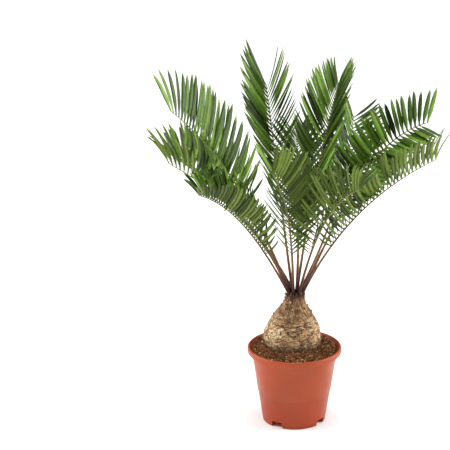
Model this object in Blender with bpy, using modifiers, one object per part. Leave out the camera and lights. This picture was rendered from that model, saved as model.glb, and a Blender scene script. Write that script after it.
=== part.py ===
"""Potted coontie palm: a nursery pot, its soil, an onion-shaped caudex and a crown of feather fronds.

Metres, +Z up. The origin is the centre of the pot's flat underside, and the plant is seen from -Y.
"""

import math
import random
from collections import namedtuple

import bmesh
import bpy
from mathutils import Matrix, Vector
from mathutils.bvhtree import BVHTree

# Pot
POT_HEIGHT = 0.143
RIM_RADIUS = 0.0862
LIP_HEIGHT = 0.0110
LIP_WIDTH = 0.0038
COLLAR_RADIUS = 0.0795
COLLAR_DROP = 0.028
BODY_TOP_RADIUS = 0.0752
STEP_HEIGHT = 0.057
STEP_DEPTH = 0.0009
BASE_RADIUS = 0.0573
WALL = 0.002
FLOOR = 0.003
# Chamfer on the edges of its lip and foot
POT_EDGE = 0.0014
INNER_SHOULDER_DROP = 0.0062
ROUND_SIDES = 48
NOTCHES = 4
NOTCH_TURN = math.radians(-34)
NOTCH_WIDTH = 0.025
NOTCH_HEIGHT = 0.0115
NOTCH_DEPTH = 0.009
NOTCH_TOP_SHARE = 0.82
DRAIN_RADIUS = 0.003
DRAIN_DEPTH = 0.012
# How far cutters run past the faces they cut through
OVERCUT = 0.01

# Soil
GAP = 0.0003
SOIL_EDGE_HEIGHT = 0.1385
SOIL_TOP_HEIGHT = 0.144
SOIL_PLATEAU_RADIUS = 0.059
SOIL_PLATEAU_SHIFT = 0.010
SOIL_SHOULDER_RADIUS = 0.072
SOIL_SHOULDER_DROP = 0.0035
SOIL_CORE_RADIUS = 0.040

# Caudex: (height above the soil, radius) down its outline, in metres
CAUDEX_BACK = 0.016
CAUDEX_FOOT_SHIFT = -0.0037
CAUDEX_NECK_SHIFT = 0.0014
CAUDEX_BOW = -0.0014
NECK_HEIGHT = 0.240
CAUDEX_SIDES = 28
CAUDEX_OUTLINE = (
    (0.0970, 0.0167), (0.0880, 0.0176), (0.0800, 0.0196), (0.0725, 0.0243), (0.0660, 0.0292),
    (0.0585, 0.0336), (0.0480, 0.0402), (0.0390, 0.0455), (0.0300, 0.0492), (0.0210, 0.0514),
    (0.0105, 0.0530), (0.0040, 0.0519), (0.0, 0.0496),
)

# Fronds
STALK_FOOT_RADIUS = 0.0029
STALK_TIP_RADIUS = 0.0010
STALK_SEGMENTS = 13
# Run of tube under the level cut at the stalk's foot
STALK_SPARE = 0.006
LEAFLET_SPACING = 0.0115
LEAFLET_WIDTH = 0.0115
LEAFLET_THICKNESS = 0.0015
# Where along a leaflet it is widest, and the share of its forward curve reached there
WIDEST_AT = 0.45
ARCH_AT_WIDEST = 0.25
# How far a leaflet's root lies beyond the stalk's middle, as a share of the stalk's radius
ROOT_SINK = 0.5
CLEARANCE = 0.0006
SEED = 11
# Shares of the blade: the first leaflets are short and full-sized from GROWN_AT, the last ones fade
# from FADE_FROM, and they close up from CLOSE_FROM
FIRST_LENGTH = 0.55
GROWN_AT = 0.2
FADE_FROM = 0.6
CLOSE_FROM = 0.75
OPENING_POWER = 2.5
# The last pair stands just short of the stalk's tip
LAST_PAIR = 0.997
# How far a leaflet strays from its angles, in degrees
STRAY = 4
# What a leaflet tries to stay clear: a turn of its opening, of its lift, and a share of its length
NUDGES = (
    (0, 0, 1),
    (0, 0.16, 1),
    (0, -0.16, 1),
    (-0.2, 0, 1),
    (0, 0, 0.75),
    (-0.25, 0.2, 0.7),
    (0, 0, 0.5),
)

# Foot is in millimetres from the neck's centre. Angles are degrees: azimuth from +X towards +Y,
# lean and tip_lean from the vertical, sway the turn of azimuth along the frond, lift how far the
# leaflets rise from the flat, roll the twist of the blade. first is the share of the length where the
# leaflets start, leaflet their length, open_first and open_tip their angle to the stalk there and at
# the tip, close how far the last ones still close up, arch how far leaflets curve forwards and fade
# how much shorter they are at the tip, both as a share of their length. The leaflets of the minus and
# the plus side end at the shares end_minus and end_plus of the blade, and turn_minus and turn_plus
# twist them on themselves.
Frond = namedtuple(
    "Frond",
    "name foot_x foot_y azimuth length lean tip_lean sway bend lift roll first leaflet"
    " open_first open_tip close arch fade end_minus end_plus turn_minus turn_plus",
)
FRONDS = (
    Frond(
        "frond_low_left", -10.8, -6, 212, 0.351, 29.8, 67.2, 24.5, 1.75, 54, -23,
        0.30, 0.084, 69, 39, 0, 0.24, 0.28, 1, 1, 0, 0,
    ),
    Frond(
        "frond_far_left", -12, 1, 192, 0.343, 19.2, 61.5, -17, 0.95, 62, -2,
        0.54, 0.102, 92, 44, 0, 0.22, 0.28, 1, 1, 0, 0,
    ),
    Frond(
        "frond_upper_left", -10.8, 8, 194, 0.4625, 21.5, 49.8, 25.5, 1.57, 16, -48,
        0.44, 0.107, 82, 81, 42, 0.11, 0.28, 0.86, 1, -20, -12,
    ),
    Frond(
        "frond_back_left", -4.5, 12.5, 150, 0.345, 32, 72, -8, 1, 42, 0,
        0.54, 0.088, 80, 42, 0, 0.20, 0.28, 1, 1, 0, 0,
    ),
    Frond(
        "frond_top_left", -5.2, 4.8, 106, 0.394, 28.5, 40.5, -6, 1.9, 51, -9,
        0.56, 0.096, 66, 44, 6, 0.20, 0.06, 1, 0.98, 25, -22,
    ),
    Frond(
        "frond_front", -4, -8, 265, 0.303, 14, 44, -26, 2, 51, 6,
        0.30, 0.090, 88, 44, 0, 0.18, 0.22, 1, 1, 30, -30,
    ),
    Frond(
        "frond_back", 3, 12, 86, 0.360, 30, 76, 6, 0.8, 40, 0,
        0.30, 0.090, 78, 42, 0, 0.20, 0.28, 1, 1, 0, 0,
    ),
    Frond(
        "frond_top_right", 2.5, 2.5, 68, 0.448, 22.5, 74, 11, 1.3, 52, -3,
        0.30, 0.098, 68, 34, 0, 0.22, 0.28, 1, 1, 0, 12,
    ),
    Frond(
        "frond_mid_right", 8.5, 7.8, 54, 0.379, 48.5, 49, 28.5, 1.2, 24, 36,
        0.40, 0.094, 62, 50, 0, 0.20, 0.28, 1, 1, 20, -22,
    ),
    Frond(
        "frond_upper_right", 12.4, 2.4, 14.4, 0.401, 25.3, 82, 0.5, 3.6, 50, 55,
        0.42, 0.090, 76, 86, 12, 0.06, 0.20, 1, 0.96, 0, 0,
    ),
    Frond(
        "frond_low_right", 11.7, -5.6, 350.7, 0.370, 24.6, 61.4, 1.6, 1.18, 38, -12,
        0.30, 0.088, 80, 70, 0, 0.20, 0.10, 1, 1, 30, 0,
    ),
    Frond(
        "frond_front_right", 5.7, -9, 310, 0.316, 18, 62.5, -5, 1.7, 57, -10,
        0.30, 0.078, 88, 39, 0, 0.20, 0.28, 1, 1, 0, 0,
    ),
)


def clear_scene():
    for obj in list(bpy.data.objects):
        bpy.data.objects.remove(obj)


def collection(name):
    made = bpy.data.collections.new(name)
    bpy.context.scene.collection.children.link(made)
    return made


def material(name, colour, roughness):
    made = bpy.data.materials.new(name)
    made.use_nodes = True
    shader = made.node_tree.nodes["Principled BSDF"]
    shader.inputs["Base Color"].default_value = (*colour, 1.0)
    shader.inputs["Roughness"].default_value = roughness
    shader.inputs["Metallic"].default_value = 0.0
    return made


def add_object(name, mesh, home, finish=None):
    obj = bpy.data.objects.new(name, mesh)
    home.objects.link(obj)
    if finish:
        mesh.materials.append(finish)
    return obj


def turned(name, profile, home, finish=None, sides=ROUND_SIDES):
    """A solid of revolution from (radius, height) points that run down its outer side."""
    mesh = bpy.data.meshes.new(name)
    points = [(radius, 0.0, height) for radius, height in profile]
    mesh.from_pydata(points, [(i, i + 1) for i in range(len(points) - 1)], [])
    obj = add_object(name, mesh, home, finish)
    screw = obj.modifiers.new("turn", "SCREW")
    screw.steps = sides
    screw.render_steps = sides
    screw.use_merge_vertices = True
    screw.merge_threshold = 0.00005
    return obj


def evaluated_mesh(obj):
    bpy.context.view_layer.update()
    graph = bpy.context.evaluated_depsgraph_get()
    return bpy.data.meshes.new_from_object(obj.evaluated_get(graph))


def settle(obj):
    """Applies an object's modifiers."""
    mesh = evaluated_mesh(obj)
    obj.modifiers.clear()
    obj.data = mesh
    return obj


def cut(obj, cutter):
    boolean = obj.modifiers.new("cut", "BOOLEAN")
    boolean.operation = "DIFFERENCE"
    boolean.object = cutter


def hide_cutter(obj):
    obj.hide_render = True
    obj.display_type = "WIRE"


def shade(obj, angle=math.radians(40)):
    obj.data.shade_smooth()
    obj.data.set_sharp_from_angle(angle=angle)


def body_radius(height):
    """The pot's outer radius below its collar, on one straight taper."""
    top = POT_HEIGHT - COLLAR_DROP
    return BASE_RADIUS + (BODY_TOP_RADIUS - BASE_RADIUS) * height / top


def inner_profile(top, slack=0.0):
    """The inside of the wall from the height top down to the floor."""
    mouth = RIM_RADIUS - LIP_WIDTH
    points = [(mouth, POT_HEIGHT + OVERCUT), (mouth, POT_HEIGHT - 0.001)]
    points += [(COLLAR_RADIUS - WALL, POT_HEIGHT - INNER_SHOULDER_DROP)]
    points += [(BODY_TOP_RADIUS - WALL, POT_HEIGHT - COLLAR_DROP)]
    points += [(BASE_RADIUS - WALL, FLOOR)]
    kept = [(radius - slack, height) for radius, height in points if height <= top]
    above = [point for point in points if point[1] > top]
    if above:
        high, low = above[-1], points[len(above)]
        share = (top - low[1]) / (high[1] - low[1])
        kept.insert(0, (low[0] + share * (high[0] - low[0]) - slack, top))
    return kept


def notch_turn(index):
    """The turn about the pot's axis that brings +X to the notch of this number."""
    return Matrix.Rotation(NOTCH_TURN + index * 2 * math.pi / NOTCHES - math.pi / 2, 3, "Z")


def notch_blocks(name, home, grow):
    """Blocks at the foot's edge, each a quarter turn from the next, joined in one mesh."""
    shape = bmesh.new()
    inner = body_radius(0.0) - NOTCH_DEPTH - grow
    outer = RIM_RADIUS
    for index in range(NOTCHES):
        made = bmesh.ops.create_cube(shape, size=1.0)["verts"]
        size = Vector((outer - inner, NOTCH_WIDTH + 2 * grow, NOTCH_HEIGHT + grow + OVERCUT))
        bmesh.ops.scale(shape, vec=size, verts=made)
        middle = Vector(((outer + inner) / 2, 0.0, (NOTCH_HEIGHT + grow - OVERCUT) / 2))
        bmesh.ops.translate(shape, vec=middle, verts=made)
        # The notch narrows upwards, as its moulded sides slope.
        for vert in made:
            if vert.co.z > 0:
                vert.co.y *= NOTCH_TOP_SHARE
        bmesh.ops.rotate(shape, cent=(0, 0, 0), matrix=notch_turn(index), verts=made)
    mesh = bpy.data.meshes.new(name)
    shape.to_mesh(mesh)
    shape.free()
    obj = add_object(name, mesh, home)
    hide_cutter(obj)
    return obj


def drain_cutters(home):
    """A round hole through the back wall of each notch."""
    shape = bmesh.new()
    wall_radius = body_radius(0.0) - NOTCH_DEPTH
    for index in range(NOTCHES):
        made = bmesh.ops.create_cone(
            shape,
            cap_ends=True,
            segments=12,
            radius1=DRAIN_RADIUS,
            radius2=DRAIN_RADIUS,
            depth=DRAIN_DEPTH,
        )["verts"]
        sideways = Matrix.Rotation(math.pi / 2, 3, "Y")
        bmesh.ops.rotate(shape, cent=(0, 0, 0), matrix=sideways, verts=made)
        bmesh.ops.translate(shape, vec=(wall_radius, 0.0, FLOOR + DRAIN_RADIUS + 0.0004), verts=made)
        bmesh.ops.rotate(shape, cent=(0, 0, 0), matrix=notch_turn(index), verts=made)
    mesh = bpy.data.meshes.new("drain_cutters")
    shape.to_mesh(mesh)
    shape.free()
    obj = add_object("drain_cutters", mesh, home)
    hide_cutter(obj)
    return obj


def make_pot(parts, cutters, finish):
    lip_bottom = POT_HEIGHT - LIP_HEIGHT
    profile = [
        (0.0, POT_HEIGHT),
        (RIM_RADIUS - POT_EDGE, POT_HEIGHT),
        (RIM_RADIUS, POT_HEIGHT - POT_EDGE),
        (RIM_RADIUS, lip_bottom + POT_EDGE),
        (RIM_RADIUS - POT_EDGE, lip_bottom),
        (COLLAR_RADIUS, lip_bottom),
        (BODY_TOP_RADIUS, POT_HEIGHT - COLLAR_DROP),
        (body_radius(STEP_HEIGHT) + STEP_DEPTH, STEP_HEIGHT + STEP_DEPTH),
        (body_radius(STEP_HEIGHT), STEP_HEIGHT),
        (BASE_RADIUS, POT_EDGE),
        (BASE_RADIUS - POT_EDGE, 0.0),
        (0.0, 0.0),
    ]
    pot = turned("pot", profile, parts, finish)
    inside = [(0.0, POT_HEIGHT + OVERCUT)] + inner_profile(POT_HEIGHT + OVERCUT) + [(0.0, FLOOR)]
    hollow = turned("pot_hollow", inside, cutters)
    hide_cutter(hollow)
    cut(hollow, notch_blocks("notch_walls", cutters, WALL))
    cut(pot, notch_blocks("notches", cutters, 0.0))
    cut(pot, hollow)
    cut(pot, drain_cutters(cutters))
    shade(settle(pot))
    return pot


def make_soil(parts, finish):
    wall_side = inner_profile(SOIL_EDGE_HEIGHT, GAP)
    above_notches = NOTCH_HEIGHT + WALL + 2 * GAP
    low_radius = body_radius(above_notches) - WALL - 2 * GAP
    profile = [(0.0, SOIL_TOP_HEIGHT), (SOIL_PLATEAU_RADIUS, SOIL_TOP_HEIGHT)]
    profile += [(SOIL_SHOULDER_RADIUS, SOIL_TOP_HEIGHT - SOIL_SHOULDER_DROP)]
    profile += wall_side[:-1]
    profile += [(low_radius, above_notches), (SOIL_CORE_RADIUS, above_notches)]
    profile += [(SOIL_CORE_RADIUS, FLOOR + GAP), (0.0, FLOOR + GAP)]
    soil = settle(turned("soil", profile, parts, finish))
    for vert in soil.data.vertices:
        rise = (vert.co.z - SOIL_EDGE_HEIGHT) / (SOIL_TOP_HEIGHT - SOIL_EDGE_HEIGHT)
        vert.co.y += SOIL_PLATEAU_SHIFT * max(0.0, rise) ** 2
    shade(soil)
    return soil


def caudex_shift(height):
    """How far the stem's middle lies towards +X at a height above the soil."""
    share = height / (NECK_HEIGHT - SOIL_TOP_HEIGHT)
    bow = CAUDEX_BOW * 4 * share * (1 - share)
    return CAUDEX_FOOT_SHIFT + (CAUDEX_NECK_SHIFT - CAUDEX_FOOT_SHIFT) * share + bow


def make_caudex(parts, finish):
    foot = SOIL_TOP_HEIGHT + GAP
    tallest = CAUDEX_OUTLINE[0][0]
    stretch = (NECK_HEIGHT - foot) / tallest
    profile = [(radius, foot + height * stretch) for height, radius in CAUDEX_OUTLINE]
    profile = [(0.0, profile[0][1])] + profile + [(0.0, profile[-1][1])]
    caudex = settle(turned("caudex", profile, parts, finish, CAUDEX_SIDES))
    for vert in caudex.data.vertices:
        vert.co.x += caudex_shift(vert.co.z - SOIL_TOP_HEIGHT)
        vert.co.y += CAUDEX_BACK
    shade(caudex)
    return caudex


class Midline:
    """A frond's midline: its points and the three directions of its blade at any share of its length."""

    STEPS = 96

    def __init__(self, frond):
        self.frond = frond
        foot = Vector((CAUDEX_NECK_SHIFT + frond.foot_x / 1000, CAUDEX_BACK + frond.foot_y / 1000, 0.0))
        foot.z = NECK_HEIGHT + GAP
        self.points = [foot]
        for index in range(self.STEPS):
            along = self.axes((index + 0.5) / self.STEPS)[0]
            self.points.append(self.points[-1] + along * frond.length / self.STEPS)

    def axes(self, share):
        """Unit vectors along the midline, out of the blade's upper face, and across the blade."""
        frond = self.frond
        lean = math.radians(frond.lean + (frond.tip_lean - frond.lean) * share**frond.bend)
        azimuth = math.radians(frond.azimuth + frond.sway * share)
        out = Vector((math.cos(azimuth), math.sin(azimuth), 0.0))
        up = Vector((0.0, 0.0, 1.0))
        along = out * math.sin(lean) + up * math.cos(lean)
        face = up * math.sin(lean) - out * math.cos(lean)
        across = along.cross(face)
        roll = math.radians(frond.roll)
        return (
            along,
            face * math.cos(roll) + across * math.sin(roll),
            across * math.cos(roll) - face * math.sin(roll),
        )

    def point(self, share):
        place = min(max(share, 0.0), 1.0) * self.STEPS
        index = min(int(place), self.STEPS - 1)
        return self.points[index].lerp(self.points[index + 1], place - index)

    def stalk_point(self, share):
        """The same on the straight runs of the stalk's tube."""
        place = min(max(share, 0.0), 1.0) * STALK_SEGMENTS
        index = min(int(place), STALK_SEGMENTS - 1)
        start = self.point(index / STALK_SEGMENTS)
        return start.lerp(self.point((index + 1) / STALK_SEGMENTS), place - index)

    def radius(self, share):
        return STALK_FOOT_RADIUS + (STALK_TIP_RADIUS - STALK_FOOT_RADIUS) * share**0.7


def stalk_object(midline, home, finish):
    """The stalk as a tapered tube whose foot is cut level, 0.3 mm above the neck."""
    frond = midline.frond
    curve = bpy.data.curves.new(frond.name, "CURVE")
    curve.dimensions = "3D"
    curve.bevel_depth = 1.0
    curve.bevel_resolution = 0
    curve.use_fill_caps = True
    spline = curve.splines.new("POLY")
    # No ring stands at the foot itself, where the level cut would run through its corners.
    shares = [(index + 1) / STALK_SEGMENTS for index in range(STALK_SEGMENTS)]
    spline.points.add(len(shares))
    below = midline.points[0] - midline.axes(0.0)[0] * STALK_SPARE
    spline.points[0].co = (*below, 1.0)
    spline.points[0].radius = STALK_FOOT_RADIUS
    for point, share in zip(spline.points[1:], shares):
        point.co = (*midline.point(share), 1.0)
        point.radius = midline.radius(share)
    source = bpy.data.objects.new(frond.name + "_line", curve)
    home.objects.link(source)
    mesh = evaluated_mesh(source)
    bpy.data.objects.remove(source)
    shape = bmesh.new()
    shape.from_mesh(mesh)
    bmesh.ops.remove_doubles(shape, verts=shape.verts, dist=0.00001)
    everything = shape.verts[:] + shape.edges[:] + shape.faces[:]
    bmesh.ops.bisect_plane(
        shape, geom=everything, plane_co=midline.points[0], plane_no=(0, 0, 1), clear_inner=True
    )
    rim = [edge for edge in shape.edges if edge.is_boundary]
    bmesh.ops.holes_fill(shape, edges=rim)
    bmesh.ops.triangulate(shape, faces=shape.faces)
    bmesh.ops.recalc_face_normals(shape, faces=shape.faces)
    shape.to_mesh(mesh)
    shape.free()
    mesh.materials.clear()
    return add_object(frond.name, mesh, home, finish)


LEAFLET_FACES = (
    (0, 2, 4), (0, 4, 3), (0, 3, 5), (0, 5, 2),
    (1, 4, 2), (1, 3, 4), (1, 5, 3), (1, 2, 5),
)
Leaflet = namedtuple("Leaflet", "share side length opening lift turn")


def leaflet_points(midline, leaflet, extra=0.0):
    """Root, tip, two edges, and the upper and lower middle of one leaflet."""
    along, face, across = midline.axes(leaflet.share)
    spread = leaflet.side * across * math.cos(leaflet.lift) + face * math.sin(leaflet.lift)
    ahead = along * math.cos(leaflet.opening) + spread * math.sin(leaflet.opening)
    forward = (along - ahead * along.dot(ahead)).normalized()
    upper = ahead.cross(forward)
    if upper.dot(face) < 0:
        upper = -upper
    wide = forward * math.cos(leaflet.turn) + upper * math.sin(leaflet.turn)
    thick = upper * math.cos(leaflet.turn) - forward * math.sin(leaflet.turn)
    length = leaflet.length
    curve = forward * length * midline.frond.arch
    root = midline.stalk_point(leaflet.share) - ahead * ROOT_SINK * midline.radius(leaflet.share)
    middle = root + ahead * length * WIDEST_AT + curve * ARCH_AT_WIDEST
    half_width = LEAFLET_WIDTH / 2 + extra
    half_thickness = LEAFLET_THICKNESS / 2 + extra
    return [
        root,
        root + ahead * (length + extra) + curve,
        middle + wide * half_width,
        middle - wide * half_width,
        middle + thick * half_thickness,
        middle - thick * half_thickness,
    ]


def leaflet_plan(frond, draw):
    """Each leaflet of a frond, from the foot to the tip."""
    rows = []
    steps = round(frond.length * (LAST_PAIR - frond.first) / LEAFLET_SPACING)
    for index in range(steps + 1):
        along = index / steps
        share = frond.first + (LAST_PAIR - frond.first) * along
        young = FIRST_LENGTH + (1.0 - FIRST_LENGTH) * min(1.0, along / GROWN_AT)
        old = 1.0 - frond.fade * max(0.0, (along - FADE_FROM) / (1.0 - FADE_FROM)) ** 1.5
        tip = max(0.0, (along - CLOSE_FROM) / (1.0 - CLOSE_FROM)) ** 3
        opening = frond.open_first + (frond.open_tip - frond.open_first) * along**OPENING_POWER
        opening -= frond.close * tip
        sides = ((-1, frond.end_minus, frond.turn_minus), (1, frond.end_plus, frond.turn_plus))
        for side, end, turn in sides:
            if along > end:
                continue
            rows.append(
                Leaflet(
                    share,
                    side,
                    frond.leaflet * young * old,
                    math.radians(opening + draw.uniform(-STRAY, STRAY)),
                    math.radians(frond.lift + draw.uniform(-STRAY, STRAY)),
                    math.radians(turn),
                )
            )
    return rows


def touches(points, trees):
    probe = BVHTree.FromPolygons(points, LEAFLET_FACES)
    return any(tree.overlap(probe) for tree in trees)


def stalk_tree(obj):
    points = [vert.co.copy() for vert in obj.data.vertices]
    return BVHTree.FromPolygons(points, [tuple(face.vertices) for face in obj.data.polygons])


def place_leaflets(midline, others, draw):
    """The leaflets that stay clear of every other frond, each turned or shortened a little if it must."""
    placed = []
    for leaflet in leaflet_plan(midline.frond, draw):
        for turn, rise, keep in NUDGES:
            moved = leaflet._replace(
                opening=leaflet.opening + turn,
                lift=leaflet.lift + rise,
                length=leaflet.length * keep,
            )
            if not touches(leaflet_points(midline, moved, CLEARANCE), others):
                placed.append(leaflet_points(midline, moved))
                break
    return placed


def fuse(stalk, leaflets, cutters):
    """Joins the leaflets to their stalk in one closed solid."""
    pieces = bpy.data.collections.new(stalk.name + "_leaflets")
    cutters.children.link(pieces)
    for index, points in enumerate(leaflets):
        mesh = bpy.data.meshes.new("leaflet")
        mesh.from_pydata(points, [], LEAFLET_FACES)
        shape = bmesh.new()
        shape.from_mesh(mesh)
        bmesh.ops.recalc_face_normals(shape, faces=shape.faces)
        shape.to_mesh(mesh)
        shape.free()
        pieces.objects.link(bpy.data.objects.new(f"{stalk.name}_leaflet_{index}", mesh))
    union = stalk.modifiers.new("leaflets", "BOOLEAN")
    union.operation = "UNION"
    union.operand_type = "COLLECTION"
    union.collection = pieces
    union.solver = "MANIFOLD"
    settle(stalk)
    for obj in list(pieces.objects):
        bpy.data.objects.remove(obj)
    bpy.data.collections.remove(pieces)


def make_crown(parts, cutters, finish):
    midlines = [Midline(frond) for frond in FRONDS]
    stalks = [stalk_object(midline, parts, finish) for midline in midlines]
    stalk_trees = [stalk_tree(stalk) for stalk in stalks]
    blades = []
    draw = random.Random(SEED)
    for index, midline in enumerate(midlines):
        others = stalk_trees[:index] + stalk_trees[index + 1 :] + blades
        placed = place_leaflets(midline, others, draw)
        points = [point for leaflet in placed for point in leaflet]
        faces = [
            tuple(6 * row + corner for corner in face)
            for row in range(len(placed))
            for face in LEAFLET_FACES
        ]
        blades.append(BVHTree.FromPolygons(points, faces))
        fuse(stalks[index], placed, cutters)


def main():
    clear_scene()
    parts = collection("potted_coontie_palm")
    cutters = collection("cutters")
    pot_plastic = material("terracotta_plastic", (0.45, 0.095, 0.050), 0.42)
    peat = material("peat_soil", (0.075, 0.034, 0.017), 0.95)
    bark = material("scaly_bark", (0.30, 0.19, 0.11), 0.85)
    leaf = material("leaf_green", (0.075, 0.16, 0.03), 0.40)
    make_pot(parts, cutters, pot_plastic)
    make_soil(parts, peat)
    make_caudex(parts, bark)
    make_crown(parts, cutters, leaf)


main()
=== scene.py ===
import math
import random
from collections import namedtuple

import bpy
from mathutils import Matrix, Vector, noise
from mathutils.bvhtree import BVHTree


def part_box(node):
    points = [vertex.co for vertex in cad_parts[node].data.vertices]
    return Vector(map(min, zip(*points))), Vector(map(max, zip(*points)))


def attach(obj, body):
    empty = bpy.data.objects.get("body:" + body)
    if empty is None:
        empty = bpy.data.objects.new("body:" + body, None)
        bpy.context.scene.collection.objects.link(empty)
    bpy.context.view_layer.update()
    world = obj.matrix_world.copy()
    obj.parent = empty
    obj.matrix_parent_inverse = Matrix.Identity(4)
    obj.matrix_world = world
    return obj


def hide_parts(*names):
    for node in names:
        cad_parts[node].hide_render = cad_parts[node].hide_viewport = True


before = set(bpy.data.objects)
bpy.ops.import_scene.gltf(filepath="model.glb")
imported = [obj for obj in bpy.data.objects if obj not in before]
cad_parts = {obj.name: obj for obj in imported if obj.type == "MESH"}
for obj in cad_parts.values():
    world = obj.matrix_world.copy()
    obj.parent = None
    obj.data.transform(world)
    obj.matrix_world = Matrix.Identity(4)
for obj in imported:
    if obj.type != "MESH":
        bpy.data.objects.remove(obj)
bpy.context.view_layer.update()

bl_info = {
    "name": "Potted Coontie Palm",
    "version": (1, 0, 0),
    "blender": (4, 5, 0),
    "location": "3D View > Sidebar > Coontie",
    "description": "Builds a potted coontie palm: nursery pot, peat, scaly caudex and feather fronds",
    "category": "Object",
}

POT_LOW, POT_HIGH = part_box("pot")

# Pot, in metres
POT_HEIGHT = POT_HIGH[2]
RIM_RADIUS = (POT_HIGH[0] - POT_LOW[0]) / 2
LIP_HEIGHT = 0.0110
LIP_WIDTH = 0.0038
COLLAR_RADIUS = 0.0795
COLLAR_DROP = 0.028
BODY_TOP_RADIUS = 0.0752
STEP_HEIGHT = 0.057
STEP_DEPTH = 0.0007
BASE_RADIUS = 0.0573
WALL = 0.002
FLOOR = 0.003
INNER_SHOULDER_DROP = 0.0062
POT_SIDES = 128
NOTCHES = 4
NOTCH_TURN = math.radians(-34)
NOTCH_WIDTH = 0.025
NOTCH_HEIGHT = 0.0115
NOTCH_DEPTH = 0.009
NOTCH_TOP_SHARE = 0.82
NOTCH_ROUNDING = 0.0012
DRAIN_RADIUS = 0.003
DRAIN_DEPTH = 0.012
# How far cutters run past the faces they cut through
OVERCUT = 0.01

# Soil
SOIL_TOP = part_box("soil")[1][2]
SOIL_EDGE = 0.1385
SOIL_EDGE_RADIUS = 0.0789
SOIL_PLATEAU = 0.059
SOIL_SHIFT = 0.010
# The peat's foot is hidden, at this share of the pot's height, and its surface calms down at the wall
SOIL_FOOT_SHARE = 0.5
SOIL_CALM = 0.004
SOIL_SIDES = 144
SOIL_RINGS = 62
# Grains and fine fibres in all, coarse shreds, and how near the caudex's middle each may lie
LITTER = 1500
LITTER_CLEARANCE = 0.047
SHREDS = 30
SHRED_CLEARANCE = 0.050

# Caudex
NECK_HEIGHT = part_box("caudex")[1][2]
CAUDEX_BACK = 0.016
CAUDEX_FOOT_SHIFT = -0.0037
CAUDEX_NECK_SHIFT = 0.0014
CAUDEX_BOW = -0.0014
CAUDEX_SIDES = 340
CAUDEX_ROWS = 190
# How far apart the layers of its bark are
LAYER_HEIGHT = 0.0066
# Shares of its height between which upright seams take over from the layers
SEAMS_FROM = 0.50
SEAMS_FULL = 0.75
BARK_LUMPS = 0.0012
CAUDEX_OUTLINE = (
    (0.0970, 0.0167), (0.0880, 0.0176), (0.0800, 0.0196), (0.0725, 0.0243), (0.0660, 0.0292),
    (0.0585, 0.0336), (0.0480, 0.0402), (0.0390, 0.0455), (0.0300, 0.0492), (0.0210, 0.0514),
    (0.0105, 0.0530), (0.0040, 0.0519), (0.0, 0.0496),
)

# Flakes and a bristle that stand off its sides: degrees round it, share of its height, reach, lean, kind
STANDING_FLAKES = (
    (-4, 0.63, 0.0075, 0.50, 0),
    (-12, 0.82, 0.0070, 0.60, 2),
    (6, 0.74, 0.0050, 0.50, 1),
    (183, 0.76, 0.0070, 0.20, 0),
    (176, 0.56, 0.0050, 0.30, 1),
    (192, 0.90, 0.0060, 0.45, 1),
)
NECK_BRISTLES = ((174, 0.955, 0.0085, 0.85), (186, 0.965, 0.0065, 0.45), (160, 0.95, 0.0070, 0.60))

# Fronds, by the same table and rule as the solids
FROND_GAP = 0.0003
STALK_FOOT_RADIUS = 0.0031
STALK_TIP_RADIUS = 0.0008
# Its foot is this much thicker, for this share of its length
STALK_SWELL = 0.0008
SWELL_UNTIL = 0.06
STALK_SIDES = 10
STALK_RINGS = 90
LEAFLET_RINGS = 9
LEAFLET_SEED = 11
# How far a leaflet's edges rise, as a share of its half width, and the room kept between two fronds'
LEAFLET_CUP = 0.30
LEAFLET_ROOM = 0.0003
# Shares of the blade: the first leaflets are short and full-sized from GROWN_AT, the last ones fade
# from FADE_FROM, and they close up from CLOSE_FROM
FIRST_LENGTH = 0.55
GROWN_AT = 0.2
FADE_FROM = 0.6
CLOSE_FROM = 0.75
OPENING_POWER = 2.5
# The last pair stands just short of the stalk's tip
LAST_PAIR = 0.997
# The first leaflets are this narrow and full-width from BROAD_AT, those near the foot stray most
FIRST_WIDTH = 0.46
BROAD_AT = 0.45
LOOSE_UNTIL = 0.25
# What a leaflet tries to stay clear: a turn of its opening, of its lift, and a share of its length
NUDGES = (
    (0, 0, 1),
    (0, 0.16, 1),
    (0, -0.16, 1),
    (-0.2, 0, 1),
    (0, 0, 0.8),
    (-0.25, 0.2, 0.75),
    (0, 0, 0.6),
)

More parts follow.
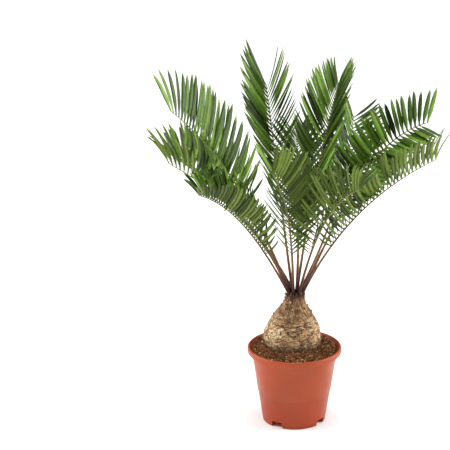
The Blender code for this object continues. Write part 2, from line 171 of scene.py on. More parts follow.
# Foot is in millimetres from the neck's centre. Angles are degrees: azimuth from +X towards +Y,
# lean and tip_lean from the vertical, sway the turn of azimuth along the frond, lift how far the
# leaflets rise from the flat, roll the twist of the blade. first is the share of the length where the
# leaflets start, leaflet their length, open_first and open_tip their angle to the stalk there and at
# the tip, close how far the last ones still close up, arch how far leaflets curve forwards and fade
# how much shorter they are at the tip, both as a share of their length. The leaflets of the minus and
# the plus side end at the shares end_minus and end_plus of the blade, and turn_minus and turn_plus
# twist them on themselves.
Frond = namedtuple(
    "Frond",
    "name foot_x foot_y azimuth length lean tip_lean sway bend lift roll first leaflet"
    " open_first open_tip close arch fade end_minus end_plus turn_minus turn_plus",
)
FRONDS = (
    Frond(
        "frond_low_left", -10.8, -6, 212, 0.351, 29.8, 67.2, 24.5, 1.75, 54, -23,
        0.30, 0.084, 69, 39, 0, 0.24, 0.28, 1, 1, 0, 0,
    ),
    Frond(
        "frond_far_left", -12, 1, 192, 0.343, 19.2, 61.5, -17, 0.95, 62, -2,
        0.54, 0.102, 92, 44, 0, 0.22, 0.28, 1, 1, 0, 0,
    ),
    Frond(
        "frond_upper_left", -10.8, 8, 194, 0.4625, 21.5, 49.8, 25.5, 1.57, 16, -48,
        0.44, 0.107, 82, 81, 42, 0.11, 0.28, 0.86, 1, -20, -12,
    ),
    Frond(
        "frond_back_left", -4.5, 12.5, 150, 0.345, 32, 72, -8, 1, 42, 0,
        0.54, 0.088, 80, 42, 0, 0.20, 0.28, 1, 1, 0, 0,
    ),
    Frond(
        "frond_top_left", -5.2, 4.8, 106, 0.394, 28.5, 40.5, -6, 1.9, 51, -9,
        0.56, 0.096, 66, 44, 6, 0.20, 0.06, 1, 0.98, 25, -22,
    ),
    Frond(
        "frond_front", -4, -8, 265, 0.303, 14, 44, -26, 2, 51, 6,
        0.30, 0.090, 88, 44, 0, 0.18, 0.22, 1, 1, 30, -30,
    ),
    Frond(
        "frond_back", 3, 12, 86, 0.360, 30, 76, 6, 0.8, 40, 0,
        0.30, 0.090, 78, 42, 0, 0.20, 0.28, 1, 1, 0, 0,
    ),
    Frond(
        "frond_top_right", 2.5, 2.5, 68, 0.448, 22.5, 74, 11, 1.3, 52, -3,
        0.30, 0.098, 68, 34, 0, 0.22, 0.28, 1, 1, 0, 12,
    ),
    Frond(
        "frond_mid_right", 8.5, 7.8, 54, 0.379, 48.5, 49, 28.5, 1.2, 24, 36,
        0.40, 0.094, 62, 50, 0, 0.20, 0.28, 1, 1, 20, -22,
    ),
    Frond(
        "frond_upper_right", 12.4, 2.4, 14.4, 0.401, 25.3, 82, 0.5, 3.6, 50, 55,
        0.42, 0.090, 76, 86, 12, 0.06, 0.20, 1, 0.96, 0, 0,
    ),
    Frond(
        "frond_low_right", 11.7, -5.6, 350.7, 0.370, 24.6, 61.4, 1.6, 1.18, 38, -12,
        0.30, 0.088, 80, 70, 0, 0.20, 0.10, 1, 1, 30, 0,
    ),
    Frond(
        "frond_front_right", 5.7, -9, 310, 0.316, 18, 62.5, -5, 1.7, 57, -10,
        0.30, 0.078, 88, 39, 0, 0.20, 0.28, 1, 1, 0, 0,
    ),
)
# How much of each green a frond gets, from its darkest leaflets to its yellowest; the fronds at the back
# get mostly the darkest greens as painted shade, and the far left frond mostly the lightest as painted
# light through its leaflets.
FROND_TINTS_AND_SHADE = {
    "frond_far_left": (0, 0, 2, 5, 5),
    "frond_upper_left": (2, 4, 4, 2, 1),
    "frond_top_left": (1, 4, 5, 2, 0),
    "frond_back": (9, 3, 0, 0, 0),
    "frond_back_left": (5, 4, 1, 0, 0),
    "frond_mid_right": (3, 5, 3, 1, 0),
    "frond_upper_right": (1, 3, 4, 4, 1),
    "frond_front": (1, 3, 4, 2, 1),
    "frond_front_right": (2, 3, 4, 2, 1),
    "frond_low_left": (0, 3, 4, 3, 1),
    "frond_low_right": (0, 2, 4, 4, 1),
}
PLAIN_TINTS = (2, 5, 4, 1, 0)
# Fronds whose leaflets are narrower or wider than the others'
FROND_WIDTHS = {
    "frond_far_left": 0.78,
    "frond_upper_left": 1.12,
    "frond_upper_right": 1.15,
    "frond_front_right": 0.88,
}

# Camera
CAMERA_TARGET = (-0.1274, 0.0, 0.3785)
CAMERA_DISTANCE = 6.0
CAMERA_ELEVATION = math.radians(20.0)
CAMERA_LENS = 265.2

# Soft lights: place, size and power
LIGHTS = {
    "left": ((-2.6, 0.35, 1.5), 1.8, 90.0),
    "right": ((2.6, 0.35, 1.4), 1.8, 90.0),
    "key": ((-0.6, -2.4, 2.6), 2.2, 5.0),
    "top": ((0.1, 0.1, 3.0), 1.6, 44.0),
}
SKY_STRENGTH = 0.70
LIGHT_AIM = (0, 0, 0.3)
FLOOR_SIDE = 60


def colour(name, text, value):
    return bpy.props.FloatVectorProperty(
        name=name, description=text, default=value, size=3, min=0.0, max=1.0, subtype="COLOR"
    )


def length(name, text, value):
    return bpy.props.FloatProperty(
        name=name, description=text, default=value, min=0.0, unit="LENGTH", subtype="DISTANCE"
    )


class CoontieSizes(bpy.types.PropertyGroup):
    leaflet_width: length("Leaflet width", "Widest part of a leaflet", 0.0090)
    leaflet_thickness: length("Leaflet thickness", "Thickness of a leaflet's blade", 0.0009)
    bark_relief: length("Bark relief", "Depth of the cracks between the bark's plates", 0.0022)
    leaflet_spacing: length("Leaflet spacing", "From one pair of leaflets to the next", 0.0080)


class CoontieColours(bpy.types.PropertyGroup):
    pot: colour("Pot", "Terracotta-coloured plastic", (0.315, 0.047, 0.008))
    peat: colour("Peat", "Moist potting peat", (0.086, 0.030, 0.009))
    bark_plate: colour("Bark plates", "Dry tan plates of the caudex", (0.560, 0.385, 0.205))
    bark_crack: colour("Bark cracks", "Dark cracks between the plates", (0.042, 0.022, 0.010))
    leaf: colour("Leaf", "Middle green of the upper side", (0.086, 0.166, 0.018))
    leaf_under: colour("Leaf underside", "Dull olive of the lower side", (0.140, 0.205, 0.034))
    stalk_foot: colour("Stalk foot", "Red-brown at the foot of the stalk", (0.045, 0.013, 0.008))
    stalk_tip: colour("Stalk tip", "Olive green further up the stalk", (0.150, 0.135, 0.040))


def sizes():
    return bpy.context.scene.coontie_sizes


def colours():
    return bpy.context.scene.coontie_colours


# Mesh helpers


def deselect():
    for obj in bpy.context.selected_objects:
        obj.select_set(False)


def activate(obj):
    deselect()
    obj.select_set(True)
    bpy.context.view_layer.objects.active = obj


def finish_piece(obj, nodes):
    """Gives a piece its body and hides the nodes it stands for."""
    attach(obj, "root")
    if nodes:
        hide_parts(*nodes)


def apply_modifiers(obj):
    activate(obj)
    for modifier in list(obj.modifiers):
        bpy.ops.object.modifier_apply(modifier=modifier.name)


def settle(obj):
    """Puts the object's place into its mesh."""
    activate(obj)
    bpy.ops.object.transform_apply(location=True, rotation=True, scale=True)


def turned_body(name, profile, sides):
    """A closed body of revolution, drawn ring by ring from its foot's middle."""
    deselect()
    radius, height = profile[0]
    bpy.ops.mesh.primitive_circle_add(vertices=sides, radius=radius, location=(0, 0, height))
    obj = bpy.context.object
    obj.name = name
    bpy.ops.object.mode_set(mode="EDIT")
    bpy.ops.mesh.select_all(action="SELECT")
    bpy.ops.mesh.edge_face_add()
    bpy.ops.mesh.select_all(action="SELECT")
    for (old_radius, old_height), (radius, height) in zip(profile, profile[1:]):
        bpy.ops.mesh.extrude_region_move(TRANSFORM_OT_translate={"value": (0, 0, height - old_height)})
        ratio = radius / old_radius
        bpy.ops.transform.resize(value=(ratio, ratio, 1), center_override=(0, 0, height))
    bpy.ops.mesh.select_all(action="SELECT")
    bpy.ops.mesh.normals_make_consistent(inside=False)
    bpy.ops.object.mode_set(mode="OBJECT")
    settle(obj)
    return obj


def empty_store():
    """The arrays of a joined mesh, in the order that mesh_object takes them."""
    return {"points": [], "faces": [], "indices": []}


def tube_faces(rings, sides, start=0):
    """The sides of a tube whose points run ring by ring from start, and then its two ends."""
    faces = []
    end = start + rings * sides
    for low in range(start, end, sides):
        high = low + sides
        for side in range(sides):
            nxt = (side + 1) % sides
            faces.append((low + side, high + side, high + nxt, low + nxt))
    return [*faces, tuple(range(start, start + sides)), tuple(range(end + sides - 1, end - 1, -1))]


def add_tube(store, rings, sides, points, kind):
    faces = tube_faces(rings, sides, len(store["points"]))
    store["points"] += points
    store["faces"] += faces
    store["indices"] += [kind] * len(faces)


def join(made, name):
    deselect()
    for obj in made:
        obj.select_set(True)
    bpy.context.view_layer.objects.active = made[0]
    bpy.ops.object.join()
    made[0].name = name
    return made[0]


def mesh_object(name, points, faces, indices, materials, uvs=None, smooth=True):
    """A joined mesh from arrays."""
    mesh = bpy.data.meshes.new(name)
    mesh.from_pydata(points, [], faces)
    for made in materials:
        mesh.materials.append(made)
    if indices:
        mesh.polygons.foreach_set("material_index", indices)
    if uvs:
        layer = mesh.uv_layers.new(name="UVMap")
        layer.data.foreach_set("uv", [value for uv in uvs for value in uv])
    if smooth:
        mesh.shade_smooth()
    obj = bpy.data.objects.new(name, mesh)
    bpy.context.scene.collection.objects.link(obj)
    return obj


# Materials


def new_material(name, base, roughness, specular=0.5):
    made = bpy.data.materials.new(name)
    made.use_nodes = True
    shader = made.node_tree.nodes["Principled BSDF"]
    shader.inputs["Base Color"].default_value = (*base, 1.0)
    shader.inputs["Roughness"].default_value = roughness
    shader.inputs["Specular IOR Level"].default_value = specular
    return made, made.node_tree, shader


def add_node(tree, kind, **values):
    made = tree.nodes.new(kind)
    for key, value in values.items():
        if key in made.inputs:
            made.inputs[key].default_value = value
        else:
            setattr(made, key, value)
    return made


def noise_node(tree, scale, detail=4.0, stretch=(1, 1, 1)):
    place = add_node(tree, "ShaderNodeTexCoord")
    mapping = add_node(tree, "ShaderNodeMapping")
    mapping.inputs["Scale"].default_value = stretch
    tree.links.new(place.outputs["Object"], mapping.inputs["Vector"])
    made = add_node(tree, "ShaderNodeTexNoise", Scale=scale, Detail=detail)
    tree.links.new(mapping.outputs["Vector"], made.inputs["Vector"])
    return made.outputs["Fac"]


def ramp(tree, factor, stops):
    made = add_node(tree, "ShaderNodeValToRGB")
    elements = made.color_ramp.elements
    while len(elements) < len(stops):
        elements.new(0.5)
    for element, (position, value) in zip(elements, stops):
        element.position = position
        element.color = (*value, 1.0)
    tree.links.new(factor, made.inputs["Fac"])
    return made.outputs["Color"]


def greys(tree, factor, *stops):
    return ramp(tree, factor, [(position, (value,) * 3) for position, value in stops])


def mottled(tree, base, factor, *stops):
    """A colour made darker or lighter by each stop's share."""
    return ramp(tree, factor, [(position, scaled(base, share)) for position, share in stops])


def mix_colour(tree, factor, first, second, blend="MIX"):
    made = add_node(tree, "ShaderNodeMix", data_type="RGBA", blend_type=blend)
    for socket, value in ((made.inputs[6], first), (made.inputs[7], second)):
        if isinstance(value, bpy.types.NodeSocket):
            tree.links.new(value, socket)
        else:
            socket.default_value = (*value, 1.0)
    if isinstance(factor, bpy.types.NodeSocket):
        tree.links.new(factor, made.inputs[0])
    else:
        made.inputs[0].default_value = factor
    return made.outputs[2]


def multiplied(tree, first, second):
    return mix_colour(tree, 1.0, first, second, "MULTIPLY")


def paint(tree, shader, tone):
    tree.links.new(tone, shader.inputs["Base Color"])


def bump(tree, shader, height, strength, distance):
    made = add_node(tree, "ShaderNodeBump", Strength=strength, Distance=distance)
    tree.links.new(height, made.inputs["Height"])
    tree.links.new(made.outputs["Normal"], shader.inputs["Normal"])


def scaled(base, factor):
    return tuple(min(1.0, value * factor) for value in base)


def pot_material():
    base = tuple(colours().pot)
    made, tree, shader = new_material("terracotta_plastic", base, 0.42, 0.30)
    tone = mottled(tree, base, noise_node(tree, 14.0, 3.0), (0.3, 0.90), (0.7, 1.08))
    scuff = noise_node(tree, 90.0, 6.0, (1, 1, 4))
    dusty = greys(tree, scuff, (0.62, 0), (0.80, 0.22))
    tone = mix_colour(tree, dusty, tone, (0.40, 0.095, 0.034))
    place = add_node(tree, "ShaderNodeTexCoord")
    parts = add_node(tree, "ShaderNodeSeparateXYZ")
    tree.links.new(place.outputs["Object"], parts.inputs["Vector"])
    step = STEP_HEIGHT + STEP_DEPTH
    # Below the step the plastic is a little darker and redder, its own colour; the darker band just under
    # the step's ledge is painted shadow of the ledge.
    stops = (
        (step - 0.005, (0.96, 0.82, 0.80)),
        (step - 0.001, (0.84, 0.68, 0.66)),
        (step + 0.001, (1, 1, 1)),
    )
    paint(tree, shader, multiplied(tree, tone, ramp(tree, parts.outputs["Z"], stops)))
    gloss = greys(tree, noise_node(tree, 40.0, 4.0), (0.3, 0.36), (0.7, 0.50))
    tree.links.new(gloss, shader.inputs["Roughness"])
    bump(tree, shader, noise_node(tree, 700.0, 2.0), 0.12, 0.0004)
    return made


def peat_material(name="peat", factor=1.0):
    base = scaled(tuple(colours().peat), factor)
    made, tree, shader = new_material(name, base, 0.95, 0.08)
    crumbs = noise_node(tree, 320.0, 6.0)
    stops = (
        (0.30, scaled(base, 0.35)),
        (0.48, base),
        (0.60, scaled(base, 2.3)),
        (0.76, (0.30, 0.14, 0.060)),
    )
    damp = greys(tree, noise_node(tree, 26.0, 3.0), (0.35, 0.55), (0.65, 1.25))
    paint(tree, shader, multiplied(tree, ramp(tree, crumbs, stops), damp))
    bump(tree, shader, crumbs, 0.8, 0.0014)
    return made


def fibre_material(name, base):
    made, tree, shader = new_material(name, base, 0.8, 0.15)
    paint(tree, shader, mottled(tree, base, noise_node(tree, 160.0, 3.0), (0.3, 0.6), (0.7, 1.25)))
    bump(tree, shader, noise_node(tree, 900.0, 2.0), 0.3, 0.0003)
    return made


def bark_cracks(tree, value, *stops):
    """Dark lines where a value passes a whole number."""
    whole = add_node(tree, "ShaderNodeMath", operation="FRACT")
    tree.links.new(value, whole.inputs[0])
    return greys(tree, whole.outputs[0], *stops)


def bark_material():
    """Layers and cracks follow the caudex's own relief, kept in its colour attribute."""
    plate = tuple(colours().bark_plate)
    crack = tuple(colours().bark_crack)
    made, tree, shader = new_material("scaly_bark", plate, 0.85, 0.2)
    relief = add_node(tree, "ShaderNodeAttribute", attribute_name="relief", attribute_type="GEOMETRY")
    parts = add_node(tree, "ShaderNodeSeparateColor")
    tree.links.new(relief.outputs["Color"], parts.inputs["Color"])
    layer, rise, plate_tint = (parts.outputs[name] for name in ("Red", "Green", "Blue"))
    upper = greys(tree, rise, (SEAMS_FROM, 0), (SEAMS_FULL, 1))
    stops = (
        (0.05, (0.250, 0.145, 0.072)),
        (0.30, (0.430, 0.235, 0.115)),
        (0.55, plate),
        (0.85, (0.660, 0.520, 0.310)),
    )
    flecks = greys(tree, noise_node(tree, 420.0, 5.0), (0.35, 0.62), (0.65, 1.15))
    tan = multiplied(tree, ramp(tree, plate_tint, stops), flecks)
    tan = multiplied(tree, tan, ramp(tree, rise, ((0.42, (1, 1, 1)), (0.70, (0.72, 0.69, 0.66)))))
    # Thin broken strokes lie level on the belly and stand upright below the neck.
    stroke = ((0.455, 1), (0.488, 0.18), (0.505, 0.18), (0.535, 1))
    level = greys(tree, noise_node(tree, 38.0, 6.0, (1, 1, 3.0)), *stroke)
    finer = greys(tree, noise_node(tree, 95.0, 5.0, (1, 1, 2.4)), *stroke)
    level = mix_colour(tree, 0.75, level, finer, "MULTIPLY")
    standing = greys(tree, noise_node(tree, 48.0, 6.0, (2.6, 2.6, 0.8)), *stroke)
    tan = multiplied(tree, tan, mix_colour(tree, upper, level, standing))
    broken = greys(tree, noise_node(tree, 48.0, 3.0, (1, 1, 1.6)), (0.40, 0.15), (0.56, 1))
    edges = bark_cracks(tree, layer, (0.0, 0.9), (0.05, 1), (0.16, 0), (0.95, 0))
    edges = multiplied(tree, edges, broken)
    sides = bark_cracks(tree, relief.outputs["Alpha"], (0.0, 1), (0.16, 0), (0.90, 0), (1.0, 0.7))
    edges = mix_colour(tree, upper, edges, mix_colour(tree, 0.35, sides, edges))
    tone = mix_colour(tree, edges, tan, crack)
    # The foot is darker and greyer towards the bottom, and the neck's rim is dark red-brown.
    foot = greys(tree, rise, (0.02, 0.75), (0.17, 0))
    tone = mix_colour(tree, foot, tone, mix_colour(tree, 0.62, tone, (0.100, 0.062, 0.038)))
    neck = greys(tree, rise, (0.90, 0), (1.0, 1))
    paint(tree, shader, mix_colour(tree, neck, tone, (0.050, 0.018, 0.010)))
    bump(tree, shader, noise_node(tree, 500.0, 6.0, (1, 1, 1.8)), 0.5, 0.0007)
    return made


def leaf_material(name, base, roughness, veins=0.25):
    made, tree, shader = new_material(name, base, roughness, 0.17)
    paint(tree, shader, mottled(tree, base, noise_node(tree, 60.0, 3.0), (0.30, 0.84), (0.70, 1.14)))
    place = add_node(tree, "ShaderNodeTexCoord")
    wave = add_node(tree, "ShaderNodeTexWave", Scale=3.2, Distortion=0.4, Detail=1.0)
    wave.bands_direction = "X"
    tree.links.new(place.outputs["UV"], wave.inputs["Vector"])
    bump(tree, shader, wave.outputs["Fac"], veins, 0.0003)
    return made


# Brightness of the first four greens, how often each underside comes, and where the tip's green stands. The
# spread of brightness and the light and dark undersides are partly the leaflets' own uneven tone and partly
# painted highlight and painted shade.
LEAF_TINT_AND_SHADE = (0.22, 0.52, 1.00, 1.75)
UPPER_KINDS = 5
UNDER_WEIGHTS = (5, 4, 2)
TIP_INDEX = 8


def leaf_materials():
    """Five greens for the upper side, then three undersides, then the pale tip."""
    base = tuple(colours().leaf)
    made = []
    # The first four greens are lighter and darker copies of one green: partly the leaflets' own tone,
    # partly painted light and shade.
    for index, factor in enumerate(LEAF_TINT_AND_SHADE):
        made.append(leaf_material(f"leaf_green_{index + 1}", scaled(base, factor), 0.34 + 0.02 * index))
    made.append(leaf_material("leaf_green_5", (0.140, 0.215, 0.030), 0.42))
    # The three undersides, from light to dark olive, are partly painted highlight and painted shade.
    made.append(leaf_material("leaf_under_1", tuple(colours().leaf_under), 0.55, 0.4))
    made.append(leaf_material("leaf_under_2", (0.070, 0.108, 0.013), 0.58, 0.4))
    made.append(leaf_material("leaf_under_3", (0.034, 0.058, 0.008), 0.58, 0.4))
    made.append(leaf_material("leaf_tip", (0.185, 0.235, 0.060), 0.45))
    return made


def stalk_material():
    """Red-brown at the foot, olive above, from the share of the stalk kept in its attribute."""
    foot = tuple(colours().stalk_foot)
    tip = tuple(colours().stalk_tip)
    made, tree, shader = new_material("stalk", tip, 0.48, 0.2)
    along = add_node(tree, "ShaderNodeAttribute", attribute_name="along", attribute_type="GEOMETRY")
    parts = add_node(tree, "ShaderNodeSeparateColor")
    tree.links.new(along.outputs["Color"], parts.inputs["Color"])
    stops = (
        (0.0, scaled(foot, 0.7)),
        (0.06, scaled(foot, 1.5)),
        (0.16, (0.165, 0.078, 0.030)),
        (0.32, (0.140, 0.088, 0.032)),
        (0.55, tip),
        (1.0, (0.180, 0.215, 0.055)),
    )
    streak = noise_node(tree, 130.0, 4.0, (1, 1, 0.15))
    shade = greys(tree, streak, (0.3, 0.68), (0.7, 1.25))
    paint(tree, shader, multiplied(tree, ramp(tree, parts.outputs["Red"], stops), shade))
    bump(tree, shader, streak, 0.25, 0.0004)
    return made


def scale_material(name, base):
    made, tree, shader = new_material(name, base, 0.78)
    streaks = noise_node(tree, 210.0, 4.0, (1, 1, 0.25))
    paint(tree, shader, mottled(tree, base, streaks, (0.30, 0.5), (0.52, 1.0), (0.74, 2.2)))
    bump(tree, shader, noise_node(tree, 700.0, 3.0, (1, 1, 0.3)), 0.5, 0.0005)
    return made


# Pot


def body_radius(height):
    return BASE_RADIUS + (BODY_TOP_RADIUS - BASE_RADIUS) * height / (POT_HEIGHT - COLLAR_DROP)


def arc(radius, height, size, start, end, steps):
    """Points of a round corner, angles in degrees from the outward direction."""
    points = []
    for index in range(steps + 1):
        angle = math.radians(start + (end - start) * index / steps)
        points.append((radius + size * math.cos(angle), height + size * math.sin(angle)))
    return points


def pot_outside():
    lip_bottom = POT_HEIGHT - LIP_HEIGHT
    step = body_radius(STEP_HEIGHT)
    points = [(0.001, 0.0), (BASE_RADIUS - 0.0022, 0.0)]
    points += arc(BASE_RADIUS - 0.0016, 0.0016, 0.0016, -60, 0, 3)
    points += [(step, STEP_HEIGHT), (step + STEP_DEPTH, STEP_HEIGHT + 0.0009)]
    points += [(BODY_TOP_RADIUS, POT_HEIGHT - COLLAR_DROP)]
    points += [(BODY_TOP_RADIUS + 0.0016, POT_HEIGHT - COLLAR_DROP + 0.005)]
    points += [(COLLAR_RADIUS - 0.0008, lip_bottom - 0.0035), (COLLAR_RADIUS, lip_bottom - 0.0004)]
    points += [(COLLAR_RADIUS + 0.0012, lip_bottom)]
    points += arc(RIM_RADIUS - 0.0024, lip_bottom + 0.0024, 0.0024, -80, 0, 4)
    points += arc(RIM_RADIUS - 0.0030, POT_HEIGHT - 0.0030, 0.0030, 0, 90, 6)
    return points


def pot_inside(top):
    mouth = RIM_RADIUS - LIP_WIDTH
    points = [(0.001, FLOOR), (BASE_RADIUS - WALL, FLOOR)]
    points += [(BODY_TOP_RADIUS - WALL, POT_HEIGHT - COLLAR_DROP)]
    points += [(COLLAR_RADIUS - WALL, POT_HEIGHT - INNER_SHOULDER_DROP)]
    points += [(mouth - 0.0006, POT_HEIGHT - 0.0022), (mouth - 0.0001, POT_HEIGHT - 0.0007)]
    points += [(mouth + 0.0008, POT_HEIGHT + 0.0002), (mouth + 0.0008, top)]
    return points


def at_notch(index, out, height):
    """The turn of a notch about the pot's axis, and a place this far out towards it."""
    turn = NOTCH_TURN + index * 2 * math.pi / NOTCHES - math.pi / 2
    return turn, Matrix.Rotation(turn, 3, "Z") @ Vector((out, 0, height))


def notch_blocks(name, grow):
    """Tapered blocks at the foot's edge, a quarter turn apart."""
    inner = body_radius(0.0) - NOTCH_DEPTH - grow
    size = (RIM_RADIUS - inner, NOTCH_WIDTH + 2 * grow, NOTCH_HEIGHT + grow + OVERCUT)
    made = []
    for index in range(NOTCHES):
        turn, middle = at_notch(index, (RIM_RADIUS + inner) / 2, (NOTCH_HEIGHT + grow - OVERCUT) / 2)
        deselect()
        bpy.ops.mesh.primitive_cube_add(size=1, location=middle, rotation=(0, 0, turn), scale=size)
        block = bpy.context.object
        bpy.ops.object.mode_set(mode="EDIT")
        bpy.ops.mesh.select_all(action="DESELECT")
        bpy.ops.object.mode_set(mode="OBJECT")
        for face in block.data.polygons:
            face.select = face.normal.z > 0.9
        bpy.ops.object.mode_set(mode="EDIT")
        centre = (middle.x, middle.y, NOTCH_HEIGHT)
        bpy.ops.transform.resize(value=(1, NOTCH_TOP_SHARE, 1), orient_type="LOCAL", center_override=centre)
        bpy.ops.mesh.select_all(action="SELECT")
        bpy.ops.mesh.bevel(offset=NOTCH_ROUNDING, segments=3, affect="EDGES")
        bpy.ops.object.mode_set(mode="OBJECT")
        settle(block)
        made.append(block)
    return join(made, name)


def drain_pegs():
    made = []
    for index in range(NOTCHES):
        turn, place = at_notch(index, body_radius(0.0) - NOTCH_DEPTH, FLOOR + DRAIN_RADIUS + 0.0004)
        deselect()
        bpy.ops.mesh.primitive_cylinder_add(
            vertices=24,
            radius=DRAIN_RADIUS,
            depth=DRAIN_DEPTH,
            location=place,
            rotation=(0, math.pi / 2, turn),
        )
        settle(bpy.context.object)
        made.append(bpy.context.object)
    return join(made, "drain_pegs")


def cut(obj, cutter):
    boolean = obj.modifiers.new("cut", "BOOLEAN")
    boolean.operation = "DIFFERENCE"
    boolean.object = cutter
    apply_modifiers(obj)


class COONTIE_OT_pot(bpy.types.Operator):
    """Add the nursery pot with its rolled lip, foot notches and drain holes"""

    bl_idname = "coontie.add_pot"
    bl_label = "Pot"

    def execute(self, context):
        pot = turned_body("nursery_pot", pot_outside(), POT_SIDES)
        hollow = turned_body("pot_hollow", pot_inside(POT_HEIGHT + OVERCUT), POT_SIDES)
        helpers = [hollow, notch_blocks("notch_walls", WALL), notch_blocks("notches", 0.0), drain_pegs()]
        cut(hollow, helpers[1])
        cut(pot, helpers[2])
        cut(pot, hollow)
        cut(pot, helpers[3])
        for helper in helpers:
            bpy.data.objects.remove(helper)
        activate(pot)
        bpy.ops.object.shade_smooth_by_angle(angle=math.radians(32))
        pot.data.materials.clear()
        pot.data.materials.append(pot_material())
        finish_piece(pot, ["pot"])
        return {"FINISHED"}


# Soil


def soil_height(x, y):
    """The peat's surface without its crumbs: a low mound round the caudex."""
    flat = math.hypot(x, y - SOIL_SHIFT)
    away = min(1.0, max(0.0, (flat - SOIL_PLATEAU) / (SOIL_EDGE_RADIUS - SOIL_PLATEAU)))
    return SOIL_TOP + (SOIL_EDGE - SOIL_TOP) * away**1.3


def soil_lumps(x, y):
    spot = Vector((x, y, 0.0))
    lumps = noise.fractal(spot * 90.0, 1.0, 2.0, 3) * 0.0011
    crumbs = noise.fractal(spot * 420.0, 0.9, 2.1, 4) * 0.0009
    return lumps + crumbs


class COONTIE_OT_soil(bpy.types.Operator):
    """Add the peat, crumbly and fibrous, with its mound round the caudex"""

    bl_idname = "coontie.add_soil"
    bl_label = "Soil"

    def execute(self, context):
        edge = SOIL_EDGE_RADIUS
        low = POT_HEIGHT * SOIL_FOOT_SHARE
        low_radius = body_radius(low) - WALL - 0.0006
        profile = [(low_radius * 0.2, low), (low_radius, low), (edge - 0.0028, SOIL_EDGE - 0.006)]
        profile += [(edge, SOIL_EDGE)]
        profile += [(edge * (1 - i / SOIL_RINGS) + 0.0008, SOIL_EDGE) for i in range(1, SOIL_RINGS)]
        soil = turned_body("peat_surface", profile, SOIL_SIDES)
        for vert in soil.data.vertices:
            if vert.co.z < SOIL_EDGE - 0.001:
                continue
            x, y = vert.co.x, vert.co.y
            near_wall = min(1.0, max(0.0, (edge - math.hypot(x, y)) / SOIL_CALM))
            rise = soil_height(x, y) - SOIL_EDGE + soil_lumps(x, y)
            vert.co.z += rise * near_wall + (1 - near_wall) * min(0.0, soil_lumps(x, y))
        activate(soil)
        bpy.ops.object.shade_smooth()
        soil.data.materials.clear()
        soil.data.materials.append(peat_material())
        finish_piece(soil, ["soil"])
        self.add_litter()
        return {"FINISHED"}

    def add_litter(self):
        """Fibres, bark crumbs and pale specks that lie on the peat."""
        draw = random.Random(5)
        fibres = empty_store()
        crumbs = empty_store()
        edge = SOIL_EDGE_RADIUS - 0.002
        caudex_middle = Vector((CAUDEX_FOOT_SHIFT, CAUDEX_BACK, 0))
        placed = 0
        while placed < LITTER:
            radius = edge * math.sqrt(draw.random())
            angle = draw.uniform(0, 2 * math.pi)
            spot = Vector((radius * math.cos(angle), radius * math.sin(angle), 0))
            if (spot - caudex_middle).length < LITTER_CLEARANCE:
                continue
            placed += 1
            spot.z = soil_height(spot.x, spot.y) + max(0.0, soil_lumps(spot.x, spot.y))
            if placed % 4 == 0:
                kind = draw.choice((0, 0, 1, 2, 2))
                reach = draw.uniform(0.004, 0.013)
                add_fibre(fibres, spot, draw, kind, reach, draw.uniform(0.00022, 0.00045))
            else:
                add_crumb(crumbs, spot, draw)
        for index in range(SHREDS):
            # Half of the coarse shreds lie in a drift at the front left, as the pale ones mostly do.
            drift = index % 2 == 0
            angle = math.radians(draw.uniform(205, 285) if drift else draw.uniform(0, 360))
            radius = edge * draw.uniform(0.84 if drift else 0.70, 0.98)
            spot = Vector((radius * math.cos(angle), radius * math.sin(angle), 0))
            if (spot - caudex_middle).length < SHRED_CLEARANCE:
                continue
            spot.z = soil_height(spot.x, spot.y) + 0.0008
            kind = draw.choice((1, 3, 3, 4)) if drift else draw.choice((0, 1, 3, 4, 4))
            reach = draw.uniform(0.002, 0.008)
            add_fibre(fibres, spot, draw, kind, reach, draw.uniform(0.0005, 0.0012))
        tones = [
            fibre_material("fibre_rust", (0.235, 0.095, 0.038)),
            fibre_material("fibre_tan", (0.36, 0.21, 0.105)),
            fibre_material("fibre_dark", (0.060, 0.030, 0.017)),
            fibre_material("fibre_cream", (0.66, 0.50, 0.27)),
            fibre_material("fibre_orange", (0.48, 0.17, 0.06)),
        ]
        finish_piece(mesh_object("peat_fibres", *fibres.values(), tones), [])
        tones = [
            peat_material("crumb_dark", 0.8),
            fibre_material("crumb_brown", (0.150, 0.070, 0.034)),
            fibre_material("crumb_rust", (0.270, 0.120, 0.055)),
            fibre_material("crumb_cream", (0.58, 0.42, 0.24)),
        ]
        finish_piece(mesh_object("peat_crumbs", *crumbs.values(), tones, smooth=False), [])


def add_fibre(store, spot, draw, kind, reach, thick):
    """A short bent thread, three-sided and pointed."""
    turn = draw.uniform(0, 2 * math.pi)
    along = Vector((math.cos(turn), math.sin(turn), draw.uniform(-0.05, 0.22)))
    side = Vector((-along.y, along.x, 0)).normalized()
    curl = draw.uniform(-0.35, 0.35)
    points = []
    steps = 5
    for index in range(steps + 1):
        share = index / steps
        centre = spot + along * reach * (share - 0.5) + side * curl * reach * (share * share - share)
        centre.z += 0.0006 - 0.0035 * (share - 0.5) ** 2
        width = thick * (0.35 + 0.65 * math.sin(math.pi * share))
        points += [centre - side * width, centre + Vector((0, 0, width * 1.5)), centre + side * width]
    add_tube(store, steps, 3, points, kind)


CRUMB_SHAPE = ((0, 0, 0.8), (1, 0, 0), (0, 1, 0), (-1, 0, 0), (0, -1, 0), (0, 0, -0.8))
CRUMB_FACES = (
    (0, 1, 2), (0, 2, 3), (0, 3, 4), (0, 4, 1), (5, 2, 1), (5, 3, 2), (5, 4, 3), (5, 1, 4),
)


